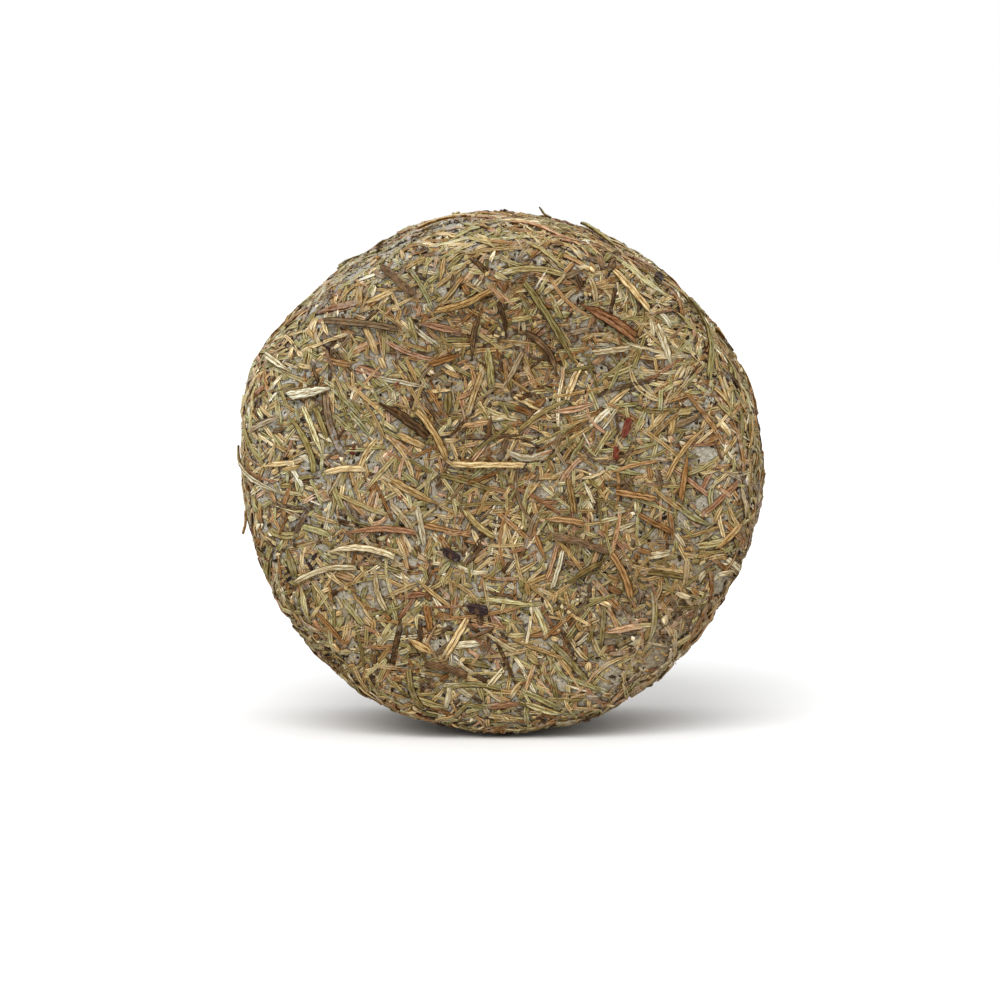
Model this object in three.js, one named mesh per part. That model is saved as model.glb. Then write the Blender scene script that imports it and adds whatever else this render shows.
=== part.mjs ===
// A small wheel of cheese standing on its rim, coated all over in dried herb needles.
// Millimetres. +Z is up, the front face looks along -Y, and the wheel rests on a flat at z = 0.
//
// The wheel is one body: its surface is the mean height of the packed coat. The largest needles,
// twigs and flakes of the coat are bodies of their own, laid on that surface with a small gap.

import * as THREE from 'three';
import { mergeVertices } from 'three/addons/utils/BufferGeometryUtils.js';

// ---- the wheel ----
const RADIUS = 54.6; // the wheel's axis to the middle of the rim
const THICKNESS = 56; // front face to back face
const EDGE_ROUND = 8; // rounding where each face meets the rim
const RIM_BULGE = 1.6; // how far the middle of the rim stands out past its two edges
const FACE_DISH = 1.2; // how far each face's middle sits in from its shoulder
const SETTLE = 0.5; // how much the lower half has sagged
const RESTING_SAG = 1.1; // depth of the flat that the wheel rests on
const LUMP = 0.22; // height of the soft unevenness all over
const AROUND = 72; // facets round the wheel
const FACE_STEPS = 6; // facets from the middle of a face to its edge
const ROUND_STEPS = 6; // facets over each rounded edge
const RIM_STEPS = 8; // facets across the rim

// Places where the outline is fuller (rise above zero) or flatter than a circle. `at` and `spread`
// are degrees round the wheel from +X towards +Z, `depth` is the place along Y.
const SHOULDERS = [
  { at: 157, rise: 2.5, spread: 9, depth: -14 },
  { at: 101, rise: 0.8, spread: 7, depth: -4 },
  { at: 8, rise: 0.6, spread: 18, depth: 0 },
  { at: 204, rise: -0.8, spread: 14, depth: -6 },
  { at: 329, rise: -1.2, spread: 12, depth: -8 },
  { at: 50, rise: -0.5, spread: 14, depth: 4 },
  { at: 124, rise: -0.4, spread: 12, depth: 12 },
];
const SHOULDER_REACH = 22; // how far a shoulder carries along Y

// ---- the coat ----
const GAP = 0.3; // air between a laid piece and the wheel
const NEEDLE_WIDTH = 1.4; // a common dried needle, edge to edge
const NEEDLE_THICK = 0.62; // thickness as a share of width
const BROAD_THICK = 0.48; // the same for a broad, flattened needle
const NEEDLE_STEPS = 7; // facets along a needle
const BLUNT = 0.55; // width of a broken end, as a share of the middle
const POINTED = 0.2; // width of a whole needle's tip
const FLAKE_THICK = 0.55; // chilli and berry skin

// The places of the laid pieces are for a wheel of these sizes, and move in or out with the wheel.
const DRAWN_RADIUS = 54.6;
const DRAWN_RIM_HALF = 20;

const ROUND_RADIUS = RADIUS - EDGE_ROUND - RIM_BULGE; // where the flat of a face ends
const HALF = THICKNESS / 2;
const RIM_HALF = HALF - EDGE_ROUND; // half the width of the rim between its rounded edges
const ROUND_LENGTH = (EDGE_ROUND * Math.PI) / 2;
const WHOLE_LENGTH = 2 * (ROUND_RADIUS + ROUND_LENGTH + RIM_HALF);
const AXIS_HEIGHT = RADIUS - SETTLE - RESTING_SAG; // the wheel's axis above the table

const MATERIALS = {
  cheese: { color: 0xa9a78f, roughness: 0.8 },
  needle_olive: { color: 0x8d8653, roughness: 0.7 },
  needle_tan: { color: 0xb3935f, roughness: 0.68 },
  needle_brown: { color: 0x96693c, roughness: 0.68 },
  needle_dark: { color: 0x5b3d27, roughness: 0.66 },
  needle_pale: { color: 0xd3c08f, roughness: 0.7 },
  needle_russet: { color: 0xa5714f, roughness: 0.68 },
  twig: { color: 0x77634a, roughness: 0.8 },
  chilli: { color: 0xa03a1d, roughness: 0.45 },
  berry_skin: { color: 0x2e2b30, roughness: 0.4 },
};

const { degToRad, radToDeg } = THREE.MathUtils;

function bell(distance, spread) {
  return Math.exp(-0.5 * (distance / spread) ** 2);
}

function turnBetween(a, b) {
  return ((a - b + 540) % 360) - 180;
}

// The half section: a point at a given length from the middle of the front face, over the rim,
// to the middle of the back face. `out` and `along` are its place, `nOut` and `nAlong` its normal.
function section(length) {
  const mirrored = length > WHOLE_LENGTH / 2;
  const s = mirrored ? WHOLE_LENGTH - length : length;
  const p = { out: 0, along: 0, nOut: 0, nAlong: 0 };
  if (s <= ROUND_RADIUS) {
    const turn = (Math.PI * s) / ROUND_RADIUS;
    p.out = s;
    p.along = -HALF + FACE_DISH * Math.cos(turn / 2) ** 2;
    p.nOut = (-FACE_DISH * Math.PI * Math.sin(turn)) / (2 * ROUND_RADIUS);
    p.nAlong = -1;
  } else if (s <= ROUND_RADIUS + ROUND_LENGTH) {
    const turn = (s - ROUND_RADIUS) / EDGE_ROUND;
    p.out = ROUND_RADIUS + EDGE_ROUND * Math.sin(turn);
    p.along = -RIM_HALF - EDGE_ROUND * Math.cos(turn);
    p.nOut = Math.sin(turn);
    p.nAlong = -Math.cos(turn);
  } else {
    p.along = s - ROUND_RADIUS - ROUND_LENGTH - RIM_HALF;
    const turn = (Math.PI * p.along) / RIM_HALF;
    p.out = ROUND_RADIUS + EDGE_ROUND + RIM_BULGE * Math.cos(turn / 2) ** 2;
    p.nOut = 1;
    p.nAlong = (RIM_BULGE * Math.PI * Math.sin(turn)) / (2 * RIM_HALF);
  }
  const size = Math.hypot(p.nOut, p.nAlong);
  p.nOut /= size;
  p.nAlong /= size;
  if (mirrored) {
    p.along = -p.along;
    p.nAlong = -p.nAlong;
  }
  return p;
}

// How far out the wheel reaches in a direction, as a share of a true circle.
function reach(angle, along) {
  let out = RADIUS;
  for (const { at, rise, spread, depth } of SHOULDERS) {
    out += rise * bell(turnBetween(angle, at), spread) * bell(along - depth, SHOULDER_REACH);
  }
  const down = Math.max(0, -Math.sin(degToRad(angle)));
  return (out - SETTLE * down * down) / RADIUS;
}

// The soft unevenness of the packed coat.
function lump(x, y, z) {
  const short = Math.sin(x * 0.31 + 1.3) * Math.sin(z * 0.27 + y * 0.19);
  const long = Math.sin(x * 0.13 - z * 0.17 + 0.4) * Math.cos(y * 0.21 + 0.9);
  return LUMP * (short + long);
}

// A point `up` above the wheel's skin, from the wheel's centre.
function skin(angle, length, up = 0) {
  const p = section(length);
  const x = Math.cos(degToRad(angle));
  const z = Math.sin(degToRad(angle));
  const fade = Math.min(1, p.out / EDGE_ROUND);
  const rise = up + fade * lump(p.out * x, p.along, p.out * z);
  const out = p.out * reach(angle, p.along) + p.nOut * rise;
  return new THREE.Vector3(out * x, p.along + p.nAlong * rise, out * z);
}

// ---- the wheel's body ----
function wheelGeometry() {
  const lengths = [];
  const stretches = [
    [ROUND_RADIUS, FACE_STEPS],
    [ROUND_LENGTH, ROUND_STEPS],
    [2 * RIM_HALF, RIM_STEPS],
    [ROUND_LENGTH, ROUND_STEPS],
    [ROUND_RADIUS, FACE_STEPS],
  ];
  let start = 0;
  for (const [size, steps] of stretches) {
    for (let i = 0; i < steps; i += 1) {
      lengths.push(start + (size * i) / steps);
    }
    start += size;
  }
  lengths.push(start);
  const profile = lengths.map((length) => {
    const p = section(Math.min(length, WHOLE_LENGTH));
    return new THREE.Vector2(Math.max(0, p.out), p.along);
  });
  const geometry = new THREE.LatheGeometry(profile, AROUND);
  const spot = geometry.attributes.position;
  for (let i = 0; i < spot.count; i += 1) {
    const column = Math.floor(i / profile.length) % AROUND;
    const p = skin((360 * column) / AROUND, lengths[i % profile.length]);
    spot.setXYZ(i, p.x, p.y, Math.max(-AXIS_HEIGHT, p.z));
  }
  return closed(geometry);
}

// Joins the corners, drops faces that have shrunk to nothing and turns the faces outwards.
function closed(geometry) {
  geometry.deleteAttribute('normal');
  geometry.deleteAttribute('uv');
  const joined = mergeVertices(geometry, 1e-4);
  const spot = joined.attributes.position;
  const corners = joined.index.array;
  const kept = [];
  const [a, b, c] = [new THREE.Vector3(), new THREE.Vector3(), new THREE.Vector3()];
  let volume = 0;
  for (let i = 0; i < corners.length; i += 3) {
    const [i0, i1, i2] = corners.slice(i, i + 3);
    if (i0 === i1 || i1 === i2 || i2 === i0) {
      continue;
    }
    a.fromBufferAttribute(spot, i0);
    b.fromBufferAttribute(spot, i1);
    c.fromBufferAttribute(spot, i2);
    volume += a.dot(b.cross(c));
    kept.push(i0, i1, i2);
  }
  joined.setIndex(volume > 0 ? kept : kept.reverse());
  joined.computeVertexNormals();
  return joined;
}

// ---- laying things on the wheel ----

// The nearest place of the skin to a point: its angle and its length along the half section.
function nearest(point) {
  const angle = radToDeg(Math.atan2(point.z, point.x));
  const out = Math.hypot(point.x, point.z);
  const miss = (s) => {
    const p = section(s);
    return Math.hypot(p.out * reach(angle, p.along) - out, p.along - point.y);
  };
  const tries = 120;
  let best = 0;
  for (let i = 1; i <= tries; i += 1) {
    const s = (WHOLE_LENGTH * i) / tries;
    best = miss(s) < miss(best) ? s : best;
  }
  for (let step = WHOLE_LENGTH / tries; step > 1e-4; step /= 2) {
    for (const s of [best - step, best + step]) {
      best = s >= 0 && s <= WHOLE_LENGTH && miss(s) < miss(best) ? s : best;
    }
  }
  return { angle, length: best };
}

// The point `up` above the skin nearest to a point, and the skin's outward direction there.
function above(point, up) {
  const { angle, length } = nearest(point);
  const low = skin(angle, length, 0);
  const normal = skin(angle, length, 1).sub(low).normalize();
  return { point: low.addScaledVector(normal, up), normal };
}

// Places: on the front face and on the back face by millimetres right of and above the wheel's
// centre as seen from the front, and on the rim by degrees round the wheel and place along Y.
function front(right, up) {
  const x = (right * RADIUS) / DRAWN_RADIUS;
  const z = (up * RADIUS) / DRAWN_RADIUS;
  const angle = radToDeg(Math.atan2(z, x));
  const past = Math.hypot(x, z) / reach(angle, -HALF) - ROUND_RADIUS;
  const over = Math.min(Math.max(past, 0), EDGE_ROUND);
  return new THREE.Vector3(x, -RIM_HALF - Math.sqrt(EDGE_ROUND ** 2 - over ** 2), z);
}

function back(right, up) {
  return front(right, up).multiply(new THREE.Vector3(1, -1, 1));
}

function rim(angle, along) {
  const x = RADIUS * Math.cos(degToRad(angle));
  const z = RADIUS * Math.sin(degToRad(angle));
  return new THREE.Vector3(x, (along * RIM_HALF) / DRAWN_RIM_HALF, z);
}

// Stations along a piece from one place to another: centre line, side and rise.
// `bow` bends it sideways over the skin, `lift` raises its two ends.
function stations({ from, to, bow, lift }) {
  const way = to.clone().sub(from).normalize();
  const aside = above(from.clone().lerp(to, 0.5), 0).normal.cross(way).normalize();
  const list = [];
  for (let i = 0; i <= NEEDLE_STEPS; i += 1) {
    const u = i / NEEDLE_STEPS;
    const chord = from.clone().lerp(to, u).addScaledVector(aside, bow * 4 * u * (1 - u));
    list.push(above(chord, GAP + lift[0] * (1 - u) ** 3 + lift[1] * u ** 3));
  }
  return list.map(({ point, normal }, i) => {
    const before = list[Math.max(0, i - 1)].point;
    const after = list[Math.min(NEEDLE_STEPS, i + 1)].point;
    const along = after.clone().sub(before).normalize();
    const side = normal.clone().cross(along).normalize();
    return { point, side, rise: along.cross(side) };
  });
}

// A needle has both edges rolled under, so its top has two ridges and a groove between them.
const NEEDLE_SECTION = [[-0.7, 0], [-1, 0.4], [-0.62, 0.95], [0, 0.6], [0.62, 0.95], [1, 0.4], [0.7, 0]];

// A twig is nearly round.
const TWIG_SECTION = [[-0.5, 0], [-1, 0.7], [-0.55, 1.5], [0.45, 1.6], [1, 0.8], [0.5, 0]];

// A long piece: the cross section drawn out along the stations, narrower at its ends.
function strand({
  from, to, width = NEEDLE_WIDTH, thick = NEEDLE_THICK, bow = 0, lift = [0, 0],
  ends = [BLUNT, BLUNT], points = NEEDLE_SECTION, knots = 0,
}) {
  const line = stations({ from, to, bow, lift });
  const outline = new THREE.Shape(points.map(([x, y]) => new THREE.Vector2(x, y)));
  const geometry = new THREE.ExtrudeGeometry(outline, {
    depth: 1,
    steps: NEEDLE_STEPS,
    bevelEnabled: false,
  });
  const spot = geometry.attributes.position;
  for (let i = 0; i < spot.count; i += 1) {
    const u = spot.getZ(i);
    const step = Math.round(u * NEEDLE_STEPS);
    const { point, side, rise } = line[step];
    const end = u < 0.5 ? ends[0] : ends[1];
    const full = Math.sqrt(Math.max(0, Math.sin(Math.PI * u)));
    const knot = 1 + knots * (step % 2 ? 1 : -1);
    const half = (width / 2) * (end + (1 - end) * full) * knot;
    const p = point.clone();
    p.addScaledVector(side, spot.getX(i) * half);
    p.addScaledVector(rise, spot.getY(i) * half * 2 * thick);
    spot.setXYZ(i, p.x, p.y, p.z);
  }
  return closed(geometry);
}

// A thin flake of skin with an uneven edge, its two ends cupped away from the wheel.
function flake({ at, turn, length, width, cup = 0.4, corners = 7 }) {
  const outline = new THREE.Shape();
  for (let i = 0; i < corners; i += 1) {
    const a = (2 * Math.PI * i) / corners;
    const uneven = 1 + 0.16 * Math.sin(3.7 * i + turn);
    const x = (length / 2) * Math.cos(a) * uneven;
    const y = (width / 2) * Math.sin(a) * uneven;
    outline[i === 0 ? 'moveTo' : 'lineTo'](x, y);
  }
  const geometry = new THREE.ExtrudeGeometry(outline, { depth: FLAKE_THICK, bevelEnabled: false });
  const { normal } = above(at, 0);
  const across = new THREE.Vector3(0, 0, 1).cross(normal).normalize();
  const along = across.clone().applyAxisAngle(normal, degToRad(turn));
  const side = normal.clone().cross(along);
  const spot = geometry.attributes.position;
  for (let i = 0; i < spot.count; i += 1) {
    const x = spot.getX(i);
    const place = at.clone().addScaledVector(along, x).addScaledVector(side, spot.getY(i));
    const { point } = above(place, GAP + spot.getZ(i) + cup * ((2 * x) / length) ** 2);
    spot.setXYZ(i, point.x, point.y, point.z);
  }
  return closed(geometry);
}

// ---- what lies where ----
const cheese = new THREE.Group();
cheese.name = 'herb_coated_cheese';
cheese.position.z = AXIS_HEIGHT;

// Adds a piece, shaped in the wheel's own frame, as a mesh placed at its middle.
function put(name, geometry) {
  const kind = name.replace(/_\d+$/, '');
  const mesh = new THREE.Mesh(geometry, new THREE.MeshStandardMaterial(MATERIALS[kind]));
  mesh.name = name;
  geometry.computeBoundingBox();
  geometry.boundingBox.getCenter(mesh.position);
  geometry.translate(...mesh.position.clone().negate());
  cheese.add(mesh);
}

const NEEDLES = {
  needle_olive: [
    { from: front(4.9, 40.7), to: front(14.8, 24.5), width: 1.5, bow: 0.5 },
    { from: front(37.8, 37.1), to: front(42.1, 21.5), bow: 1 },
    { from: front(-43.3, 13.9), to: front(-38, 2.2), bow: 1.2 },
    { from: front(-40, 15.5), to: front(-36.3, 5.9), width: 1.3 },
    { from: front(14, -20.5), to: front(20.5, -16.2), width: 1.3, bow: 0.4 },
    { from: front(-7.2, -5.5), to: front(-1.6, -10.9), bow: -0.5 },
    { from: rim(79, -4), to: rim(82, -3), width: 0.9, lift: [0, 1.8], ends: [BLUNT, POINTED] },
    { from: rim(64, -14), to: rim(72, -3), bow: 0.6 },
    { from: rim(128, 2), to: rim(121, 13), width: 1.5, bow: -0.5 },
    { from: back(-12, 18.5), to: back(4, 12.5), width: 1.5, bow: 0.8 },
    { from: back(22, -13.5), to: back(30, -1.5), bow: 0.5 },
  ],
  needle_tan: [
    { from: front(-9.8, 3.9), to: front(4.7, 3.6), width: 1.5, lift: [0, 0.4] },
    { from: front(-17.1, 14.7), to: front(-11, 5.1), width: 1.6, bow: 0.6 },
    { from: front(-13.6, 35.2), to: front(-2.2, 39.1), width: 1.5, bow: -0.7 },
    { from: front(22.8, 43.1), to: front(29.9, 35.4), width: 1.5 },
    { from: front(33.7, 1), to: front(41.3, 11.2), width: 1.1, bow: 0.8 },
    { from: front(13.6, 0.8), to: front(15, -6.1) },
    { from: front(-18.7, -31.8), to: front(-14, -34.9), width: 1.9, thick: BROAD_THICK },
    { from: rim(187, -19), to: rim(192, -19.5), width: 1.2, lift: [0, 1.5], ends: [BLUNT, POINTED] },
    { from: rim(96, -16), to: rim(108, -12), width: 1.5, bow: 0.5 },
    { from: rim(24, 4), to: rim(12, 9), bow: 0.8 },
    { from: back(14, 30.5), to: back(28, 26.5), width: 1.6, bow: -0.6 },
    { from: back(-34, -7.5), to: back(-22, -15.5), width: 1.5, bow: 0.9 },
  ],
  needle_brown: [
    { from: front(-14.4, 24.1), to: front(-8, 26.3), width: 1.5 },
    { from: front(8.9, -7.3), to: front(16.7, -8.2), width: 1.5, bow: 0.3 },
    { from: front(23.4, -1.7), to: front(31.4, -3.1) },
    { from: front(-15.2, -25.1), to: front(-14.4, -29.9), width: 1.6 },
    { from: front(37.8, 5.7), to: front(36.6, -3.3), width: 1.3 },
    { from: front(28.1, -6.4), to: front(34.6, -9.9), width: 1.3 },
    { from: front(22.6, -14.6), to: front(26.4, -23.2), width: 1.5, bow: 0.6 },
  ],
  needle_dark: [
    { from: front(-35.8, 32.9), to: front(-20.9, 31.3), width: 1.5, bow: 0.5 },
    { from: front(-3.9, 35.6), to: front(-5.9, 24.9), width: 1.3, bow: -0.6 },
    { from: front(-0.6, 36.9), to: front(1, 29.7), width: 1.1, bow: 0.4 },
    { from: front(5.1, 30.5), to: front(11.2, 21.9), bow: 1.6 },
    { from: front(-24.8, 16.3), to: front(-14.9, 9.5), width: 2, thick: BROAD_THICK, bow: 0.5 },
    { from: front(-45, 13.7), to: front(-50.2, 10.6), width: 1.3 },
    { from: back(-6, -19.5), to: back(6, -11.5), bow: -0.9 },
  ],
  needle_pale: [
    { from: front(-53.6, 6.9), to: front(-44.9, -1.9), width: 1.2, bow: -1.2 },
    { from: front(-43.1, 17.9), to: front(-34.8, 19.4), width: 2.1, thick: BROAD_THICK },
    { from: front(-47.6, 25.8), to: front(-42.3, 22.7) },
    { from: front(-41.7, -20.1), to: front(-29.5, -17.2), bow: 1.2 },
    { from: front(-35.2, -14.1), to: front(-21.8, -14.9), width: 1.6, bow: 1.4 },
    { from: front(-25.6, -17.5), to: front(-23.4, -25.8), bow: -0.8 },
    { from: front(18.7, 26.6), to: front(26, 27.6) },
    { from: front(10.6, -21.3), to: front(12.6, -13.8), width: 1.1 },
    { from: front(16.9, 0.1), to: front(18.9, -3.9), width: 0.8 },
  ],
  needle_russet: [
    { from: front(-32.3, -10.3), to: front(-17.5, -10.1), bow: 0.9 },
    { from: front(-16.7, 32.7), to: front(-8, 30.8), width: 1.6 },
    { from: front(16.3, 36.1), to: front(27.2, 29.7), width: 2.3, thick: BROAD_THICK, bow: 0.6 },
  ],
};

// Woody bits of stem, and flakes of red chilli and of a dark berry's skin.
const TWIGS = [
  { from: front(-24.2, 43.8), to: front(-17.5, 38.3), width: 1.5 },
  { from: front(19.4, 46.1), to: front(20.6, 43.3), width: 1.6 },
  { from: front(10.8, -10.9), to: front(21.6, -13.8), bow: 0.3 },
  { from: front(-15.5, -36.9), to: front(-6.9, -39.4), width: 1.5, bow: 0.4 },
];
const FLAKES = {
  chilli: [
    { at: front(25.5, 11.3), turn: 78, length: 4.2, width: 1.5 },
    { at: front(23.4, 6.1), turn: 84, length: 2.8, width: 1.2 },
  ],
  berry_skin: [
    { at: front(31.8, 41.3), turn: 20, length: 2.8, width: 2 },
    { at: front(-10.1, -14.5), turn: -30, length: 3.6, width: 1.9 },
    { at: front(-4.8, -25.7), turn: -12, length: 4.4, width: 2.1 },
  ],
};

put('cheese', wheelGeometry());
for (const [kind, list] of Object.entries(NEEDLES)) {
  list.forEach((one, i) => put(`${kind}_${i + 1}`, strand(one)));
}
TWIGS.forEach((one, i) => {
  put(`twig_${i + 1}`, strand({ ...one, points: TWIG_SECTION, thick: 0.5, knots: 0.05 }));
});
for (const [kind, list] of Object.entries(FLAKES)) {
  list.forEach((one, i) => put(`${kind}_${i + 1}`, flake(one)));
}

export default cheese;
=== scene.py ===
"""A small wheel of cheese coated in dried herb needles, standing on its rim.

The file is laid out as an add-on and run as a script. The wheel's body and the largest needles,
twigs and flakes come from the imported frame; the rest of the coat is laid over them piece by piece.
"""

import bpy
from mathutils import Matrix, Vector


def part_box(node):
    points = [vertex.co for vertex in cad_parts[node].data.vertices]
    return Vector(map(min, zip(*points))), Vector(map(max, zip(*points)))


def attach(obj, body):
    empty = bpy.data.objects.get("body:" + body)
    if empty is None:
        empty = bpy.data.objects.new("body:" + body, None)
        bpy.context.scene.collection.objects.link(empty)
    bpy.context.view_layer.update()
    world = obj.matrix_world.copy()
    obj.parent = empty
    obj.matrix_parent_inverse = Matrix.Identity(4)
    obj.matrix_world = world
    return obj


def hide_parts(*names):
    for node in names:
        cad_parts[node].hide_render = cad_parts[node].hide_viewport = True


bl_info = {
    "name": "Herb-coated cheese",
    "version": (1, 0, 0),
    "blender": (4, 5, 0),
    "location": "View3D > Sidebar > Cheese",
    "description": "Builds a wheel of cheese with a coat of dried herb needles",
    "category": "Object",
}

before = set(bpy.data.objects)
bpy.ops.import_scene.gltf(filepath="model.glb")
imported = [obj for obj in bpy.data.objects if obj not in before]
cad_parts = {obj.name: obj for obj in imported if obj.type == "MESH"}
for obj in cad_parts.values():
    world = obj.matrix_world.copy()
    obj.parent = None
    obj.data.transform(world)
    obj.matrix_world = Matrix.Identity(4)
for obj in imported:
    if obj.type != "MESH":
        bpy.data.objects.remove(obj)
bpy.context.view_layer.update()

import functools
import math

import bpy
import numpy as np
from bpy.props import FloatProperty, FloatVectorProperty, IntProperty, PointerProperty, StringProperty
from mathutils import Vector, noise
from mathutils.bvhtree import BVHTree

MM = 0.001
BODY = "root"
TABLE_CLEARANCE = 0.02  # mm between the table and the lowest point of the coat

# Where the wheel's centre is, from the cheese body itself, in mm.
WHEEL_LOW, WHEEL_HIGH = (np.array(corner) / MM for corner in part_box("cheese"))
WHEEL_CENTRE = (WHEEL_LOW + WHEEL_HIGH) / 2
WHEEL_RADIUS = (WHEEL_HIGH[0] - WHEEL_LOW[0]) / 2


# ---------------------------------------------------------------- settings


def colour_setting(name, rgb):
    return FloatVectorProperty(
        name=name,
        description=f"Colour of the {name.lower()}",
        subtype="COLOR",
        size=3,
        min=0.0,
        max=1.0,
        default=rgb,
    )


def length_setting(name, description, millimetres):
    return FloatProperty(
        name=name, description=description, unit="LENGTH", min=0.0, default=millimetres * MM
    )


def angle_setting(name, description, degrees):
    return FloatProperty(
        name=name, description=description, subtype="ANGLE", default=math.radians(degrees)
    )


def count_setting(name, description, count):
    return IntProperty(name=name, description=description, min=0, default=count)


class RindSettings(bpy.types.PropertyGroup):
    depth: length_setting("Depth", "How far the rind lies under the top of the coat", 0.9)
    grid: length_setting("Grid", "Size of the rind's mesh faces", 0.8)
    ripple: length_setting("Ripple", "Height of the rind's unevenness", 0.5)
    bloom: colour_setting("Bloom", (0.375, 0.352, 0.3))
    # The shaded bloom is painted in the hollows of the rind's fine bump, as their shade.
    shade: colour_setting("Shaded bloom", (0.19, 0.165, 0.115))
    stain: colour_setting("Herb stain", (0.1, 0.055, 0.022))
    # Small holes in the rind are painted in this near black, as the shade inside them.
    pit_shade: colour_setting("Pits", (0.03, 0.013, 0.004))
    speck: colour_setting("White specks", (0.75, 0.74, 0.68))


class CoatSettings(bpy.types.PropertyGroup):
    bits: count_setting("Broken bits", "Short bits pressed into the rind", 6600)
    needles: count_setting("Needles", "Needles of common length", 6600)
    long_needles: count_setting("Long needles", "Whole needles lying on top", 820)
    late_bits: count_setting("Late bits", "Short bits that fall over the needles", 1900)
    slivers: count_setting("White slivers", "Thin split slivers", 150)
    twigs: count_setting("Loose twigs", "Bits of stem laid with the needles", 70)
    crumbs: count_setting("Crumbs", "Fine crumbs in the gaps", 16000)
    width: length_setting("Needle width", "Edge to edge of a common needle", 0.9)
    press: length_setting("Press", "How far a needle is pushed into what it lies on", 0.3)
    seed: IntProperty(name="Seed", description="Changes how the coat falls", default=11)


class NeedleColours(bpy.types.PropertyGroup):
    olive: colour_setting("Olive needles", (0.246, 0.211, 0.081))
    tan: colour_setting("Tan needles", (0.387, 0.275, 0.119))
    brown: colour_setting("Brown needles", (0.256, 0.134, 0.046))
    dark: colour_setting("Dark needles", (0.082, 0.047, 0.021))
    pale: colour_setting("Pale needles", (0.478, 0.412, 0.256))
    russet: colour_setting("Russet needles", (0.307, 0.163, 0.086))
    sliver: colour_setting("White slivers", (0.7, 0.61, 0.44))
    twig: colour_setting("Twigs", (0.13, 0.075, 0.037))
    chilli: colour_setting("Chilli", (0.11, 0.024, 0.013))
    berry_skin: colour_setting("Berry skin", (0.024, 0.014, 0.013))


class StageSettings(bpy.types.PropertyGroup):
    distance: length_setting("Distance", "Camera to the wheel", 880.0)
    elevation: angle_setting("Elevation", "Camera's angle above the wheel's middle", 5.0)
    framed: length_setting("Framed width", "Width that the picture spans at the wheel", 210.0)
    aim_below: length_setting("Aim below", "How far the aim is under the wheel's middle", 6.8)
    aim_left: length_setting("Aim left", "How far the aim is left of the wheel's middle", 0.6)
    key: FloatProperty(name="Key", description="Strength of the broad soft light", default=2.95)
    key_side: angle_setting("Key side", "How far the light is to the left of the camera", 12.0)
    key_height: angle_setting("Key height", "How high the light comes from", 41.0)
    key_spread: angle_setting("Key spread", "How wide the light is, which softens shadows", 48.0)
    fill: FloatProperty(name="Fill", description="Strength of the white surroundings", default=1.0)
    table: colour_setting("Table", (0.78, 0.78, 0.78))


class CheeseSettings(bpy.types.PropertyGroup):
    rind: PointerProperty(type=RindSettings)
    coat: PointerProperty(type=CoatSettings)
    colours: PointerProperty(type=NeedleColours)
    stage: PointerProperty(type=StageSettings)


def settings():
    return bpy.context.scene.herb_cheese


# ---------------------------------------------------------------- shader maths


class Value:
    """A node socket that takes part in sums: each operation adds a Math node."""

    def __init__(self, graph, socket):
        self.graph = graph
        self.socket = socket

    def maths(self, operation, *values):
        return self.graph.add("ShaderNodeMath", {"operation": operation}, dict(enumerate(values)))

    def __add__(self, other):
        return self.maths("ADD", self, other)

    def __sub__(self, other):
        return self.maths("SUBTRACT", self, other)

    def __rsub__(self, other):
        return self.maths("SUBTRACT", other, self)

    def __mul__(self, other):
        return self.maths("MULTIPLY", self, other)

    def __pow__(self, other):
        return self.maths("POWER", self, other)

    def __abs__(self):
        return self.maths("ABSOLUTE", self)

    __radd__ = __add__
    __rmul__ = __mul__

    def step(self, low, high):
        """0 under low, 1 over high and smooth between, or the other way round if low > high."""
        return self.graph.add(
            "ShaderNodeMapRange",
            {"interpolation_type": "SMOOTHSTEP"},
            {0: self, 1: low, 2: high, 3: 0.0, 4: 1.0},
        )


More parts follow.
